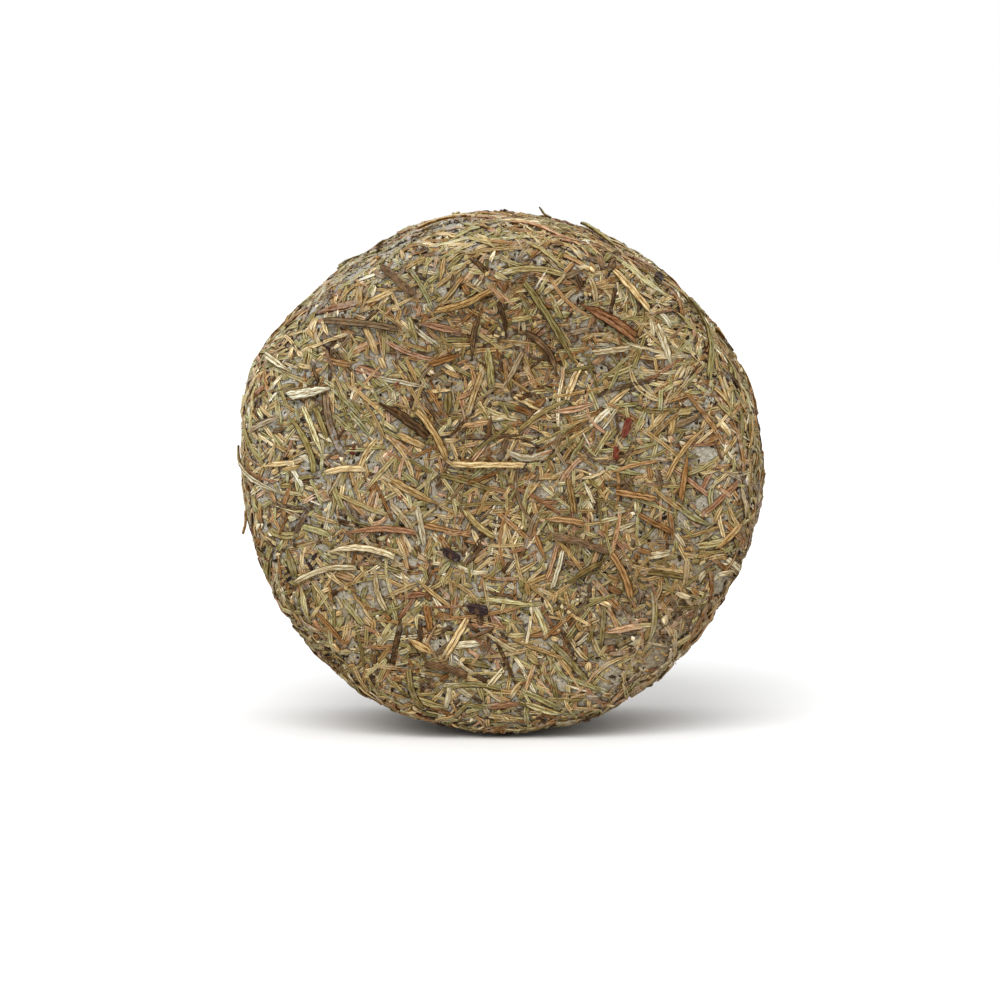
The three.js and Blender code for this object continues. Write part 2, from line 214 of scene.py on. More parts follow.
class Graph:
    """The nodes of one material."""

    def __init__(self, name):
        self.material = bpy.data.materials.new(name)
        self.material.use_nodes = True
        self.tree = self.material.node_tree
        self.tree.nodes.clear()
        output = self.tree.nodes.new("ShaderNodeOutputMaterial")
        self.shader = self.tree.nodes.new("ShaderNodeBsdfPrincipled")
        self.tree.links.new(self.shader.outputs[0], output.inputs["Surface"])

    def add(self, kind, options=None, values=None, output=0):
        """A node with its settings made first and then its sockets, as the Value of one output."""
        node = self.tree.nodes.new(kind)
        for key, option in (options or {}).items():
            if key == "stops":
                self.set_stops(node.color_ramp, option)
            else:
                setattr(node, key, option)
        for key, value in (values or {}).items():
            self.fill(node.inputs[key], value)
        return Value(self, node.outputs[output])

    def fill(self, socket, value):
        if isinstance(value, Value):
            self.tree.links.new(value.socket, socket)
        elif hasattr(socket.default_value, "__len__") and len(socket.default_value) == 4:
            socket.default_value = (*value, 1.0) if len(value) == 3 else value
        else:
            socket.default_value = value

    def set_stops(self, ramp, stops):
        while len(ramp.elements) < len(stops):
            ramp.elements.new(0.5)
        for element, (place, colour) in zip(ramp.elements, stops):
            element.position = place
            element.color = (*colour, 1.0)

    def mix(self, share, under, over, blend="MIX"):
        return self.add(
            "ShaderNodeMix",
            {"data_type": "RGBA", "blend_type": blend},
            {0: share, 6: under, 7: over},
            output=2,
        )

    def times(self, colour, light):
        return self.mix(1.0, colour, light, blend="MULTIPLY")

    def ramp(self, place, stops):
        return self.add("ShaderNodeValToRGB", {"stops": stops}, {0: place})

    def attribute(self, name):
        return self.add("ShaderNodeAttribute", {"attribute_name": name}, output=2)

    def places(self):
        """Object coordinates in millimetres."""
        spot = self.add("ShaderNodeTexCoord", output=3)
        return self.add("ShaderNodeVectorMath", {"operation": "SCALE"}, {0: spot, 3: 1.0 / MM})

    def noise(self, vector, scale, detail=2.0, roughness=0.5):
        return self.add(
            "ShaderNodeTexNoise",
            {},
            {"Vector": vector, "Scale": scale, "Detail": detail, "Roughness": roughness},
        )

    def cells(self, vector, scale):
        return self.add("ShaderNodeTexVoronoi", {}, {"Vector": vector, "Scale": scale})

    def combine(self, x, y, z):
        return self.add("ShaderNodeCombineXYZ", {}, {0: x, 1: y, 2: z})

    def warmed(self, light):
        """A brightness as a colour that turns browner as it darkens."""
        return self.combine(light**0.74, light, light**1.4)

    def bump(self, height, strength, distance):
        return self.add(
            "ShaderNodeBump",
            values={"Height": height, "Strength": strength, "Distance": distance * MM},
        )

    def finish(self, colour, roughness, normal=None, specular=0.5):
        self.fill(self.shader.inputs["Base Color"], colour)
        self.fill(self.shader.inputs["Roughness"], roughness)
        if normal:
            self.fill(self.shader.inputs["Normal"], normal)
        self.shader.inputs["Specular IOR Level"].default_value = specular
        return self.material


def scaled(rgb, share):
    return tuple(min(1.0, channel * share) for channel in rgb)


def toward(rgb, other, share):
    return tuple(a + (b - a) * share for a, b in zip(rgb, other))


# ---------------------------------------------------------------- materials

# Dry herbs and bloom hardly shine. A higher level would grey the shaded gaps.
RIND_SPECULAR = 0.12
HERB_SPECULAR = 0.05
STRAW = (0.62, 0.5, 0.3)  # what the lightest needles of every kind turn toward
GROOVE_SHADE = 0.3084  # painted shade in the groove down a leaf's middle: how dark, before its fibres add to that


def rind_material():
    """Grey-white bloom with herb stains, painted darker in the hollows of its bump as their shade,
    small holes painted near black as their shade, and white specks.
    """
    look = settings().rind
    g = Graph("coated_rind")
    spot = g.places()
    broad = g.noise(spot, 0.22, detail=3.0)
    fine = g.noise(spot, 1.7, detail=4.0, roughness=0.65)
    # Painted shade: small holes, near black where no light reaches in, and sunk in the bump too.
    pit_shade_mask = g.cells(spot, 1.5).step(0.4, 0.16) * g.noise(spot, 0.8).step(0.5, 0.62)
    pit_shade_mask = pit_shade_mask * fine.step(0.36, 0.56)
    specks = g.cells(spot, 1.9).step(0.22, 0.1) * g.noise(spot, 0.9).step(0.52, 0.62)
    # Painted shade: where the fine noise, which is also the bump's height, is low, the bloom takes
    # the shaded colour.
    colour = g.mix(fine.step(0.35, 0.7), tuple(look.shade), tuple(look.bloom))
    colour = g.mix(broad.step(0.5, 0.72) * 0.6, colour, tuple(look.stain))
    colour = g.mix(specks * 0.8, colour, tuple(look.speck))
    colour = g.mix(pit_shade_mask, colour, tuple(look.pit_shade))
    # Painted light and shade of the place, as on the needles.
    colour = g.times(colour, g.warmed(g.attribute("shade")))
    height = fine * 0.6 - pit_shade_mask + specks * 0.4
    return g.finish(colour, 0.5 + fine * 0.3, g.bump(height, 0.8, 0.25), RIND_SPECULAR)


def needle_material(kind, spread=0.3, grooved=True, gloss=0.38):
    """A dried leaf: streaked light edges rolled over a groove with painted shade, painted shadow
    along its sides, stained, with bloom on it and the painted light and shade of its place.
    """
    hues = settings().colours
    colour = tuple(getattr(hues, kind))
    g = Graph(f"{kind}_needle" if grooved else kind)
    along, across = g.attribute("along"), g.attribute("across")
    pick, shade, bury = g.attribute("pick"), g.attribute("shade"), g.attribute("bury")
    spot = g.places()
    lengthwise = g.combine(along * 0.3, across * 3.0, pick * 83.0)
    fibre = g.noise(lengthwise, 2.0, detail=5.0, roughness=0.7)
    patch = g.noise(g.combine(along * 0.8, across * 0.6, pick * 47.0), 0.7, detail=3.0)
    speckle = g.noise(spot, 4.2, detail=2.0, roughness=0.7)
    tone = g.ramp(
        pick,
        [
            (0.0, scaled(colour, 1.0 - spread)),
            (0.5, colour),
            (1.0, toward(scaled(colour, 1.0 + spread), STRAW, 0.3 if grooved else 0.04)),
        ],
    )
    stain = toward(scaled(hues.brown, 0.9), colour, 0.25)
    tone = g.mix(patch.step(0.5, 0.68) * 0.55, tone, stain)
    side = abs(across)
    light = (0.06 + fibre.step(0.34, 0.64) * 1.6) * (0.45 + patch * 0.6 + speckle * 0.5)
    if grooved:
        # Painted shade down the groove, and painted shadow lines along the leaf's sides.
        groove = side.step(0.24, 0.05) * (GROOVE_SHADE + fibre * 0.4)
        light = light * (1.0 - groove) * (1.0 - side.step(0.66, 0.96) * 0.9)
    surface = g.times(tone, g.warmed(light))
    dust = g.noise(spot, 0.8, detail=4.0, roughness=0.65)
    veil = (dust + bury * 0.25).step(0.57, 0.82) * (0.4 + bury * 0.4)
    surface = g.mix(veil, surface, toward(scaled(settings().rind.bloom, 0.95), colour, 0.3))
    # Painted light and shade of the strand's place, times its own chance tint.
    surface = g.times(surface, g.warmed(shade))
    height = fibre + speckle * 0.3 - side.step(0.3, 0.06) * 0.6
    roughness = gloss + fibre * 0.2 + veil * 0.2
    return g.finish(surface, roughness, g.bump(height, 0.7, 0.14), HERB_SPECULAR)


def crumb_material():
    """Ground herb and rind: tan, brown, olive, white and nearly black grains; the blackest are partly
    painted shade in the coat's gaps, where crumbs lie lowest.
    """
    hues = settings().colours
    g = Graph("herb_crumbs")
    pick = g.attribute("pick")
    grain = g.noise(g.places(), 3.1, detail=2.0)
    stops = [
        # This nearly black end stands partly for the shade in the gaps that the crumbs fill.
        (0.0, scaled(hues.dark, 0.15)),
        (0.35, scaled(hues.dark, 0.6)),
        (0.5, tuple(hues.brown)),
        (0.65, tuple(hues.olive)),
        (0.93, tuple(hues.tan)),
        (1.0, tuple(hues.sliver)),
    ]
    colour = g.times(g.ramp(pick, stops), g.warmed(0.65 + grain * 0.7))
    return g.finish(colour, 0.45 + grain * 0.35, g.bump(grain, 0.5, 0.1), HERB_SPECULAR)


def table_material():
    """Plain matt white board, with a very faint mottle."""
    g = Graph("table")
    grain = g.noise(g.places(), 0.02, detail=2.0)
    table = tuple(settings().stage.table)
    return g.finish(g.mix(grain, table, scaled(table, 1.02)), 0.8 + grain * 0.1)


# ---------------------------------------------------------------- the wheel's skin


class Skin:
    """The wheel's outer surface in mm: its points, and the nearest place to any point."""

    def __init__(self, node, grid):
        copy = bpy.data.objects.new("skin_source", node.data.copy())
        bpy.context.scene.collection.objects.link(copy)
        remesh = copy.modifiers.new("even", "REMESH")
        remesh.mode = "VOXEL"
        remesh.voxel_size = grid
        softened = copy.modifiers.new("softened", "SMOOTH")
        softened.factor = 0.5
        softened.iterations = 8
        evaluated = copy.evaluated_get(bpy.context.evaluated_depsgraph_get())
        mesh = bpy.data.meshes.new_from_object(evaluated)
        bpy.data.objects.remove(copy)
        self.points = read(mesh.vertices, "co", 3) / MM
        self.normals = read(mesh.vertex_normals, "vector", 3)
        self.faces = [tuple(face.vertices) for face in mesh.polygons]
        self.tree = BVHTree.FromPolygons(self.points.tolist(), self.faces)
        bpy.data.meshes.remove(mesh)

    def nearest(self, point):
        place, out, _, _ = self.tree.find_nearest(point)
        return place, out

    def walk(self, start, heading, length, bend, steps):
        """Goes over the skin, turning `bend` radians a mm; gives places and outward directions."""
        place, out = self.nearest(start)
        stride = length / (steps - 1)
        places, outs = [], []
        for _ in range(steps):
            places.append(place)
            outs.append(out)
            heading = (heading - out * heading.dot(out)).normalized()
            heading = heading + out.cross(heading) * (bend * stride)
            place, out = self.nearest(place + heading.normalized() * stride)
        return np.array(places), np.array(outs)


def read(items, name, width):
    found = np.empty(len(items) * width, np.float32)
    items.foreach_get(name, found)
    return found.reshape(-1, width).astype(float)


def unit(vectors):
    return vectors / np.maximum(np.linalg.norm(vectors, axis=-1, keepdims=True), 1e-9)


# ---------------------------------------------------------------- laying the coat

CELL = 0.45  # mm, of the record of how high the coat has grown
MARGIN = 3.0  # mm of that record past the wheel
SHIFTS = (-0.35, 0.0, 0.35)  # mm out along the skin where a strand is written into the record
LARGEST_SLOPE = 0.16  # how steeply a needle may sink between what it lies on
TOP_OF_COAT = 1.75  # mm over the rind
COMBED_SHARE = 0.42  # of the strands lie the way their neighbours do
COMB_SHIFTS = (Vector((9.3, -1.5, -7.9)), Vector((-7.3, 14.2, 2.6)), Vector((3.8, 5.1, 23.4)))
COMB_LOOSENESS = 0.4
COMB_GRAIN, PATCH_GRAIN = 0.11, 0.17  # of the noises that set their way and their number
SPARSE_BELOW = -0.22  # reading of the second one under which fewer strands start
START_BARE, START_SPARSE = 0.08, 0.5  # how often a strand may start there
WELL_INSIDE = 0.85  # share of a bare spot's size
TUCKED_SHARE = 0.6  # of the ends dip under what is laid next to them
TUCKED_RUN = 0.35  # share of the length that such an end takes
POINTED_SHARE = 0.28  # of the ends are pointed, and the rest broken off blunt
TURN_COST, OVER_COST = 0.3, 3.0  # of bending round the wheel, and of standing too high
NESTLED = 0.85  # share of a strand's thickness that the next one finds in its way
TINTS = (0.66, 1.36)  # the darkest and the lightest strand, as a share of its kind's colour
MOST_BURIED, CLEAR_AT = 0.55, 1.5  # at the rind, and mm over it where nothing is buried
MOST_CRUST = 0.45
CAD_STEPS = 13  # along each strand that stands for a CAD piece
ROOM_UNDER = 0.15  # mm over the body's surface, up to which others may lie under such a strand
NEEDLE_WIDTHS = (0.45, 1.75)  # mm
WIDTH_SPREAD = 0.26
CURVED_SHARE = 0.2
CURVED_BEND, STRAIGHT_BEND = 0.09, 0.028  # radians a mm, as a spread

# Needle kinds with the share of the coat that each makes up.
SHARES = {"olive": 0.34, "tan": 0.24, "brown": 0.17, "dark": 0.11, "pale": 0.07, "russet": 0.07}
KINDS = list(SHARES)

# Painted light and shade on the front, partly darker herb: how much, then middle, width and height in
# wheel radii.
PAINTED_LIGHT_AND_SHADE_HILLS = [
    (-0.22, -0.02, 0.45, 0.42, 0.3),
    (-0.14, 0.0, 0.0, 0.35, 0.3),
    (-0.38, 0.6, -0.55, 0.4, 0.38),
    (-0.21, -0.55, -0.6, 0.35, 0.35),
    (0.15, -0.8, 0.1, 0.3, 0.5),
]
PAINTED_RIM_HIGHLIGHT, EDGE_WIDTH = 0.2, 0.2  # painted highlight of the upper rim, which catches the light, and its width
BACK_FROM = 0.3

# Spots where hardly any needles stuck and the rind shows: middle from the wheel's, and size, in mm.
BARE_SPOTS = [
    (42.9, -24.0, -21.5, 3.8),
    (31.5, -26.0, -36.5, 3.4),
    (21.8, -26.0, -40.6, 3.6),
    (47.0, -13.0, -27.0, 5.5),
    (38.0, -14.0, -39.0, 5.5),
    (27.0, -16.0, -47.0, 5.0),
    (40.0, -27.5, 5.0, 2.4),
    (-26.0, -27.0, -22.0, 2.6),
    (8.0, -27.0, -3.0, 1.8),
    (-4.0, -18.0, 54.0, 4.2),
    (-13.0, -17.0, 52.5, 5.2),
    (-22.0, -18.0, 49.0, 5.6),
    (-31.0, -20.0, 43.0, 5.0),
    (-40.0, -21.0, 35.0, 4.0),
    (-12.0, -3.0, 54.0, 4.6),
    (-27.0, -4.0, 47.5, 4.8),
    (34.0, 27.0, 12.0, 3.6),
    (-38.0, 14.0, 37.0, 4.0),
    (-20.0, 26.0, -30.0, 3.4),
]

# Where bloom has grown over the needles too: middle from the wheel's, and reach, in mm.
CRUSTED = [
    (36.0, -24.0, -36.0, 15.0),
    (-14.0, -12.0, 52.0, 13.0),
    (-32.0, -14.0, 42.0, 13.0),
    (50.0, -6.0, -12.0, 12.0),
    (-14.0, 26.0, 18.0, 14.0),
    (30.0, 14.0, 42.0, 12.0),
]


class Coat:
    """What lies on the rind, strand by strand, and how high it has grown everywhere."""

    def __init__(self, skin, rng, rind_depth, press):
        self.skin = skin
        self.rng = rng
        self.rind_depth = rind_depth
        self.press = press
        self.low = skin.points.min(0) - MARGIN
        self.shape = np.ceil((skin.points.max(0) + MARGIN - self.low) / CELL).astype(int)
        self.top = np.zeros(int(np.prod(self.shape)), np.float32)
        self.ceiling = np.full(len(self.top), TOP_OF_COAT, np.float32)
        self.strands = []
        centre = Vector(WHEEL_CENTRE)
        self.bare = [(centre + Vector(spot), size) for *spot, size in BARE_SPOTS]
        self.bare_middles = np.array([spot for spot, _ in self.bare])
        self.bare_sizes = np.array([size for _, size in self.bare])

    def cells(self, points):
        grid = ((points - self.low) / CELL).astype(int)
        return np.ravel_multi_index(np.moveaxis(grid, -1, 0), self.shape, mode="clip")

    def under(self, places, outs, width):
        """The cells under a strand, three across at each place and halfway between."""
        sides = unit(np.cross(outs, np.gradient(places, axis=0)))
        wide = places[:, None] + sides[:, None] * (np.array([-0.4, 0.0, 0.4]) * width)[:, None]
        fine = np.empty((2 * len(places) - 1, 3, 3))
        fine[::2] = wide
        fine[1::2] = (wide[1:] + wide[:-1]) / 2
        return fine

    def settle(self, heights, length):
        """A strand's height: held up by what is under it, sinking only slowly between."""
        along = np.linspace(0.0, length, len(heights))
        reach = heights[None] - LARGEST_SLOPE * np.abs(along[:, None] - along[None])
        return reach.max(1)

    def mark(self, points, outs, heights):
        for shift in SHIFTS:
            cells = self.cells(points + outs[:, None] * shift)
            np.maximum.at(self.top, cells, heights[:, None])

    def start(self):
        """A place for a new strand, with few in the bare spots."""
        points = self.skin.points
        while True:
            place = Vector(points[self.rng.integers(len(points))])
            near = any((place - spot).length < size for spot, size in self.bare)
            sparse = noise.noise(place * PATCH_GRAIN) < SPARSE_BELOW
            if self.rng.random() < (START_BARE if near else START_SPARSE if sparse else 1.0):
                return place

    def bareness(self, places):
        """1 for each place well inside a bare spot, else 0."""
        away = np.linalg.norm(places[:, None] - self.bare_middles[None], axis=2)
        return (away < self.bare_sizes * WELL_INSIDE).any(1).astype(float)

    def lay(self, kind, length, width, thick, bend, steps, tries=3, sink=0.0, tuck=0.0, shape=None):
        """Lays one strand at the lowest and flattest of a few random places."""
        best = None
        combed = self.rng.random() < COMBED_SHARE
        for _ in range(tries):
            start = self.start()
            heading = Vector(self.rng.normal(size=3)).normalized()
            if combed:
                heading = combing(start) + heading * COMB_LOOSENESS
            places, outs = self.skin.walk(start, heading, length, bend, steps)
            fine = self.under(places, outs, width)
            cells = self.cells(fine)
            heights = self.top[cells].max(1)
            lift = self.settle(heights, length)
            over = (lift[:, None] + thick - self.ceiling[cells]).max()
            turn = 1.0 - float(outs[0] @ outs[-1])
            cost = lift.mean() + TURN_COST * turn + max(0.0, over) * OVER_COST
            cost += self.bareness(places).mean()
            if best is None or cost < best[0]:
                best = (cost, places, outs, fine, lift)
        _, places, outs, fine, lift = best
        lift = np.maximum(lift - self.press, 0.0) - sink
        u = np.linspace(0.0, 1.0, len(lift))
        for end in (u, 1.0 - u):
            if self.rng.random() < TUCKED_SHARE:
                lift = lift - tuck * smooth(1.0 - end / TUCKED_RUN)
        outs_fine = np.repeat(outs, 2, axis=0)[:-1]
        self.mark(fine, outs_fine, lift + thick * NESTLED)
        self.keep(kind, places, outs, lift[::2], length, width, thick, shape)

    def keep(self, kind, places, outs, lift, length, width, thick, shape=None):
        """Records a strand with its own chance tint, roll, twist and ends."""
        rng = self.rng
        height = lift - self.rind_depth
        middle = places[len(places) // 2]
        self.strands.append(
            {
                "kind": kind,
                "spine": places + outs * height[:, None],
                "outs": outs,
                "length": length,
                "width": width,
                "thick": thick,
                "pick": rng.random(),
                # The place's painted light and shade, times the strand's own chance tint.
                "shade": painted_light_and_shade(middle) * rng.uniform(*TINTS),
                "bury": np.clip(MOST_BURIED - lift / CLEAR_AT, 0.0, MOST_BURIED) + crust(middle),
                "shape": shape or COMMON_SECTIONS[rng.integers(len(COMMON_SECTIONS))],
                "roll": rng.normal(0.0, 0.16),
                "twist": rng.normal(0.0, 0.22),
                "ends": np.where(
                    rng.random(2) < POINTED_SHARE,
                    rng.uniform(0.15, 0.35, 2),
                    rng.uniform(0.7, 0.95, 2),
                ),
                "slant": rng.uniform(-0.9, 0.9, 2),
                "wobble": rng.normal(0.0, 1.0, (len(places), 3)),
            }
        )

    def strands_of(self, kind):
        """All the strands of one kind, which has to have some."""
        found = [strand for strand in self.strands if strand["kind"] == kind]
        if not found:
            raise RuntimeError(f"the coat has no strands of the kind {kind}")
        return found

    def reserve(self, places, outs, width, height):
        """Keeps the room above a height clear for a piece that is laid there already."""
        fine = self.under(places, outs, width)
        for shift in SHIFTS:
            cells = self.cells(fine + np.repeat(outs, 2, axis=0)[:-1][:, None] * shift)
            self.ceiling[cells] = np.minimum(self.ceiling[cells], height)


def painted_light_and_shade(place):
    """How light the coat is painted at a place: painted light and shade on the front, partly darker
    herb, and a painted highlight on the upper rim; 1 all over the back.
    """
    x, y, z = (place - WHEEL_CENTRE) / WHEEL_RADIUS
    if y > BACK_FROM:
        return 1.0
    share = 1.0
    for amount, right, up, width, height in PAINTED_LIGHT_AND_SHADE_HILLS:
        share += amount * hill(x - right, z - up, width, height)
    # Painted highlight along the upper rim, strongest at the top and toward the left.
    edge = hill(math.hypot(x, z) - 1.0, 0.0, EDGE_WIDTH, 1.0) * max(0.0, 0.8 * z - 0.25 * x)
    return share + PAINTED_RIM_HIGHLIGHT * edge


def combing(place):
    """The way that needles near a place tend to lie, from three readings of one smooth noise."""
    return Vector([noise.noise(place * COMB_GRAIN + shift) for shift in COMB_SHIFTS]).normalized()


def hill(x, z, width, height):
    """1 at the origin, falling off smoothly over a width and a height."""
    return math.exp(-((x / width) ** 2) - (z / height) ** 2)


def crust(place):
    """How thickly bloom lies over the needles at a place."""
    offset = Vector(place - WHEEL_CENTRE)
    return MOST_CRUST * max(
        math.exp(-(((offset - Vector(spot)).length / reach) ** 2)) for *spot, reach in CRUSTED
    )


def trace(node, groups=8):
    """The line down the middle of a long CAD piece in mm, and its width."""
    points = np.unique(np.round(read(node.data.vertices, "co", 3) / MM, 3), axis=0)
    middle = points.mean(0)
    axis = np.linalg.svd(points - middle)[2][0]
    order = np.argsort((points - middle) @ axis)
    line = np.array([points[group].mean(0) for group in np.array_split(order, groups)])
    across = []
    for group in np.array_split(order, groups)[2:-2]:
        spread = points[group] - points[group].mean(0)
        across.append(np.linalg.norm(spread, axis=1).max() * 2)
    return line, float(np.median(across))


def resample(line, steps):
    """The same line in equal steps, and its length."""
    along = np.concatenate([[0.0], np.cumsum(np.linalg.norm(np.diff(line, axis=0), axis=1))])
    want = np.linspace(0.0, along[-1], steps)
    return np.stack([np.interp(want, along, line[:, axis]) for axis in range(3)], 1), along[-1]


def nodes_of(kind):
    """The names of the frame's pieces of one kind."""
    return sorted(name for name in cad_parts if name.rsplit("_", 1)[0] == kind)


def lay_cad_strands(coat, kind, prefix, shape, thick_share):
    """Refined strands exactly where the frame's long pieces lie, with the room under them kept."""
    for name in nodes_of(prefix):
        line, width = trace(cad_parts[name])
        middle, length = resample(line, CAD_STEPS)
        found = [coat.skin.nearest(Vector(point)) for point in middle]
        places = np.array([place for place, _ in found])
        outs = np.array([out for _, out in found])
        thick = width * thick_share
        height = ((middle - places) * outs).sum(1) - thick * 0.55
        coat.reserve(places, outs, width, coat.rind_depth + ROOM_UNDER)
        coat.keep(kind, places, outs, height + coat.rind_depth, length, width, thick, shape)
        coat.strands[-1]["roll"] = 0.0
        coat.strands[-1]["spine"] = middle - outs * (thick * 0.5)


@functools.lru_cache(maxsize=1)
def skin():
    return Skin(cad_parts["cheese"], settings().rind.grid)


@functools.lru_cache(maxsize=1)
def coat():
    """The whole coat, laid once: the frame's strands first, then the loose ones over the rind."""
    look = settings().coat
    rng = np.random.default_rng(look.seed)
    made = Coat(skin(), rng, settings().rind.depth / MM, look.press / MM)
    for kind in KINDS:
        lay_cad_strands(made, kind, f"needle_{kind}", None, 0.5)
    lay_cad_strands(made, "twig", "twig", "ribbed", 0.6)
    common = look.width / MM
    share = np.array(list(SHARES.values())) / sum(SHARES.values())

    def draw(count, middle, spread, limits, shapes=COMMON_SECTIONS, **options):
        """Needles whose lengths spread round a middle one, and widths round the common one."""
        for _ in range(count):
            length = float(np.clip(middle * math.exp(rng.normal(0.0, spread)), *limits))
            width = float(np.clip(common * math.exp(rng.normal(0.0, WIDTH_SPREAD)), *NEEDLE_WIDTHS))
            curved = rng.random() < CURVED_SHARE
            bend = rng.normal(0.0, CURVED_BEND if curved else STRAIGHT_BEND)
            shape = shapes[rng.integers(len(shapes))]
            kind = KINDS[rng.choice(len(KINDS), p=share)]
            made.lay(kind, length, width, width * 0.5, bend, shape=shape, **options)

    short = SHORT_SECTIONS  # and all lengths are in mm
    draw(look.bits, 2.6, 0.35, (1.1, 4.5), shapes=short, steps=4, tries=2, sink=0.05)
    draw(look.needles, 5.8, 0.34, (3.0, 11.0), steps=6, tries=3, tuck=0.25)
    draw(look.long_needles, 11.0, 0.2, (9.0, 16.0), steps=11, tries=5, tuck=0.35)
    draw(look.late_bits, 2.2, 0.35, (0.9, 4.2), shapes=short, steps=4, tries=5, tuck=0.2)

    def strew(kind, count, lengths, widths, thick, **options):
        """Slivers or twigs, nearly straight, of any size between two limits."""
        for _ in range(count):
            length, width = rng.uniform(*lengths), rng.uniform(*widths)
            bend = rng.normal(0.0, 0.03)
            made.lay(kind, length, width, width * thick, bend, steps=7, **options)

    strew("sliver", look.slivers, (2.0, 6.0), (0.3, 0.5), 0.6, tries=2, shape="bit")
    strew("twig", look.twigs, (1.5, 6.0), (0.5, 0.9), 0.8, tuck=0.3, shape="round")
    return made


# ---------------------------------------------------------------- meshes

# Cross sections, left edge to right over the top, as shares of half the width and of the thickness.
SECTIONS = {
    "grooved": [
        (-0.7, 0.0), (-1.0, 0.42), (-0.8, 0.88), (-0.42, 1.0), (0.0, 0.4),
        (0.42, 1.0), (0.8, 0.88), (1.0, 0.42), (0.7, 0.0),
    ],
    "ribbed": [
        (-0.7, 0.0), (-1.0, 0.36), (-0.8, 0.7), (-0.34, 0.5), (0.0, 1.0),
        (0.36, 0.52), (0.8, 0.66), (1.0, 0.36), (0.7, 0.0),
    ],
    "round": [
        (-0.5, 0.0), (-0.92, 0.3), (-1.0, 0.62), (-0.6, 0.95), (0.0, 1.04),
        (0.6, 0.93), (1.0, 0.6), (0.9, 0.28), (0.5, 0.0),
    ],
    "bit": [(-0.8, 0.0), (-1.0, 0.5), (-0.5, 1.0), (0.0, 0.45), (0.5, 1.0), (1.0, 0.5), (0.8, 0.0)],
    "half": [(-0.8, 0.0), (-1.0, 0.45), (-0.6, 0.9), (0.1, 1.0), (0.6, 0.84), (1.0, 0.4), (0.8, 0.0)],
    "chip": [(-0.9, 0.0), (-0.8, 0.7), (0.1, 1.0), (0.85, 0.6), (0.9, 0.0)],
}
COMMON_SECTIONS = ("grooved", "grooved", "ribbed", "round", "bit", "half", "half")
SHORT_SECTIONS = ("bit", "bit", "half", "chip", "chip")

FLAKE_CORNERS = 12
# A flake's rings from the middle of its top to the middle of its underside: reach and height.
FLAKE_RINGS = ((0.0, 1.0), (0.5, 0.95), (0.92, 0.75), (1.0, 0.4), (0.9, 0.0), (0.0, 0.0))
FLAKE_BLUNTNESS = (0.55, 0.75)  # powers that square off its ends and its sides
CAD_FLAKE_THICK, LOOSE_FLAKE_THICK = 0.5, 0.35  # mm
MAP_MARGIN = 0.08  # of a cell of the flat map, left free round its strand
MAP_CELL_WIDTH = 2.2  # as a share of its height
CRUMB_SEED = 5
CRUMB_TRIES = 4


def strand_batch(strands):
    """Vertices and shader numbers for strands that have equally many steps."""
    of_all = {key: np.array([strand[key] for strand in strands]) for key in strands[0]}
    length, width, thick, roll, twist = (
        of_all[key][:, None] for key in ("length", "width", "thick", "roll", "twist")
    )
    spine, wobble, slant, ends = (of_all[key] for key in ("spine", "wobble", "slant", "ends"))
    u = np.linspace(0.0, 1.0, spine.shape[1])[None]

    along = unit(np.gradient(spine, axis=1))
    side = unit(np.cross(unit(of_all["outs"]), along))
    rise = np.cross(along, side)
    angle = (roll + twist * (u - 0.5))[..., None]
    cos, sin = np.cos(angle), np.sin(angle)
    side, rise = side * cos + rise * sin, rise * cos - side * sin

    run = np.where(ends < 0.5, 0.38, 0.1)  # share of the length over which an end narrows
    first = ends[:, :1] + (1 - ends[:, :1]) * smooth(u / run[:, :1])
    last = ends[:, 1:] + (1 - ends[:, 1:]) * smooth((1 - u) / run[:, 1:])
    half = width / 2 * first * last * (1 + 0.05 * wobble[:, :, 0])
    high = thick * (0.45 + 0.55 * np.sqrt(first * last)) * (1 + 0.05 * wobble[:, :, 1])
    spine = spine + side * (0.035 * wobble[:, :, 2:3])

    section = np.array([SECTIONS[strand["shape"]] for strand in strands])
    wide = half[:, :, None] * section[:, None, :, 0]
    tall = high[:, :, None] * section[:, None, :, 1]
    verts = spine[:, :, None] + side[:, :, None] * wide[..., None]
    verts = verts + rise[:, :, None] * tall[..., None]
    for place in (0, -1):
        cut = slant[:, place, None] * half[:, place, None] * section[:, :, 0]
        verts[:, place] += along[:, place, None] * cut[..., None]

    numbers = {"along": (u * length)[..., None], "across": section[:, None, :, 0]}
    for key in ("pick", "shade", "bury"):
        numbers[key] = of_all[key].reshape(len(strands), -1, 1)
    return verts, {key: np.broadcast_to(value, verts.shape[:3]) for key, value in numbers.items()}


def smooth(value):
    value = np.clip(value, 0.0, 1.0)
    return value * value * (3 - 2 * value)


def strand_faces(count, steps, around, start):
    """Corner lists and face sizes for `count` closed strands whose first vertex is `start`."""
    ring = np.arange(around)
    nxt = (ring + 1) % around
    step = np.arange(steps - 1)[:, None] * around
    quads = np.stack([step + ring, step + around + ring, step + around + nxt, step + nxt], -1)
    caps = np.concatenate([ring, (steps - 1) * around + ring[::-1]])
    one = np.concatenate([quads.ravel(), caps])
    sizes = np.concatenate([np.full(quads.shape[0] * quads.shape[1], 4), [around, around]])
    offset = start + np.arange(count)[:, None] * steps * around
    return (one[None] + offset).ravel(), np.tile(sizes, count)


